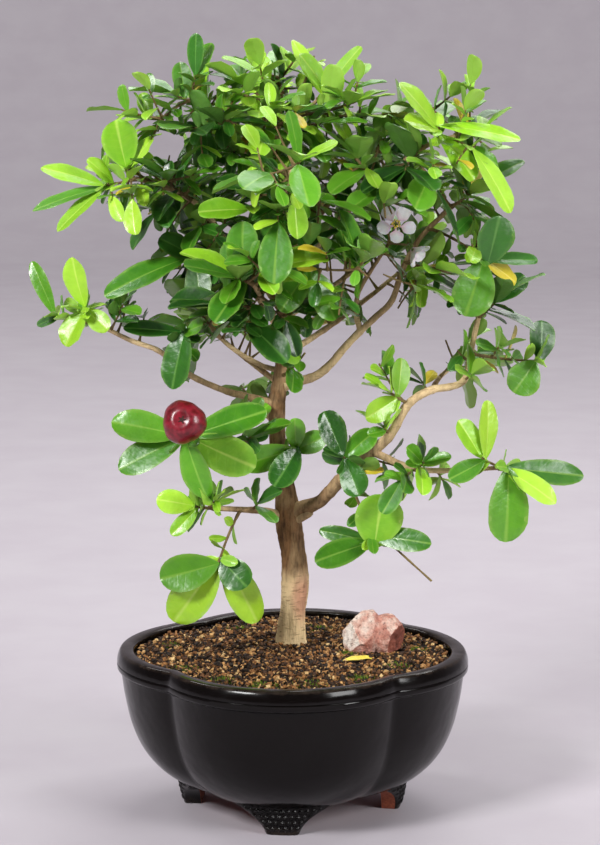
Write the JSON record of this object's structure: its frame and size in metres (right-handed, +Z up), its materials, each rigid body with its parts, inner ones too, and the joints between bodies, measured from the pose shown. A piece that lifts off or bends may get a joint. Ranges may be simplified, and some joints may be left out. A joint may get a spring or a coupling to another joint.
{
  "type": "barbados cherry bonsai",
  "caption": "Barbados cherry bonsai: a slim trunk with open leafy sprays, a red fruit and pink-white flowers, in a round lobed glazed pot on feet.",
  "frame": {"origin": "middle of the whole plant in plan, on the surface that its feet stand on", "axes": "+Z up, -Y towards the front of the pot, +X to the right as seen from its front"},
  "size_m": [0.2616, 0.1902, 0.3713],
  "materials": {
    "glaze": "dark brown-black stoneware glaze, satin gloss, worn lighter along the rim",
    "screen": "moulded plastic mesh",
    "soil": "loose bonsai soil of bark and baked clay grit",
    "bark": "pale tan to brown bark, peeling in places",
    "rock": "broken pink and white stone",
    "leaf_dark": "glossy dark green leaf",
    "leaf_mid": "glossy mid green leaf",
    "leaf_light": "glossy young yellow-green leaf",
    "fruit": "shiny red fruit skin",
    "petal": "pinkish-white thin petal"
  },
  "bodies": {
    "root": {"trunk_and_branches": "bark", "spray_far_left_high": "leaf_light", "spray_left_high_light": "leaf_light", "spray_left_high_dark": "leaf_dark", "spray_left_high_rear": "leaf_mid", "spray_left_leaf_fan": "leaf_mid", "spray_top_left_end": "leaf_mid", "spray_top_left_front": "leaf_dark", "spray_top_left_rear": "leaf_mid", "spray_top_mid_left": "leaf_light", "spray_top_mid_front": "leaf_mid", "spray_top_tuft": "leaf_light", "spray_top_rear": "leaf_mid", "spray_top_right_front": "leaf_light", "spray_top_right_long": "leaf_light", "spray_right_high_dark": "leaf_dark", "spray_crown_right_mid": "leaf_mid", "spray_crown_right_top": "leaf_mid", "spray_right_high_end": "leaf_mid", "spray_right_upper": "leaf_mid", "spray_right_mid_light": "leaf_light", "spray_flower_spray": "leaf_dark", "spray_crown_front_end": "leaf_mid", "spray_crown_front_mid": "leaf_mid", "spray_mid_front_end": "leaf_mid", "spray_mid_front_low": "leaf_dark", "spray_mid_right_end": "leaf_mid", "spray_trunk_front": "leaf_mid", "spray_left_end": "leaf_light", "spray_left_hanging": "leaf_dark", "spray_left_thin_end": "leaf_mid", "spray_fruit_cluster": "leaf_mid", "spray_fruit_inner": "leaf_dark", "spray_trunk_front_low": "leaf_mid", "spray_yellow_cluster": "leaf_light", "spray_low_left": "leaf_light", "spray_right_pair": "leaf_dark", "spray_right_yellow": "leaf_light", "spray_right_far_small": "leaf_mid", "spray_low_right": "leaf_mid", "spray_far_right": "leaf_light", "spray_right_three": "leaf_mid", "spray_right_main_end": "leaf_dark", "spray_rear_left_high": "leaf_mid", "spray_rear_left_mid": "leaf_dark", "spray_rear_right_high": "leaf_mid", "spray_rear_top": "leaf_light", "spray_rear_mid": "leaf_mid", "spray_rear_right_mid": "leaf_mid", "spray_rear_left_low": "leaf_dark", "spray_rear_low": "leaf_mid", "spray_rear_right_low": "leaf_mid", "fruit": "fruit", "flower_open": "petal", "flower_side": "petal", "fallen_leaf": "leaf_light", "rock": "rock", "pot": "glaze", "drain_screen": "screen", "soil": "soil"}
  },
  "joints": []
}
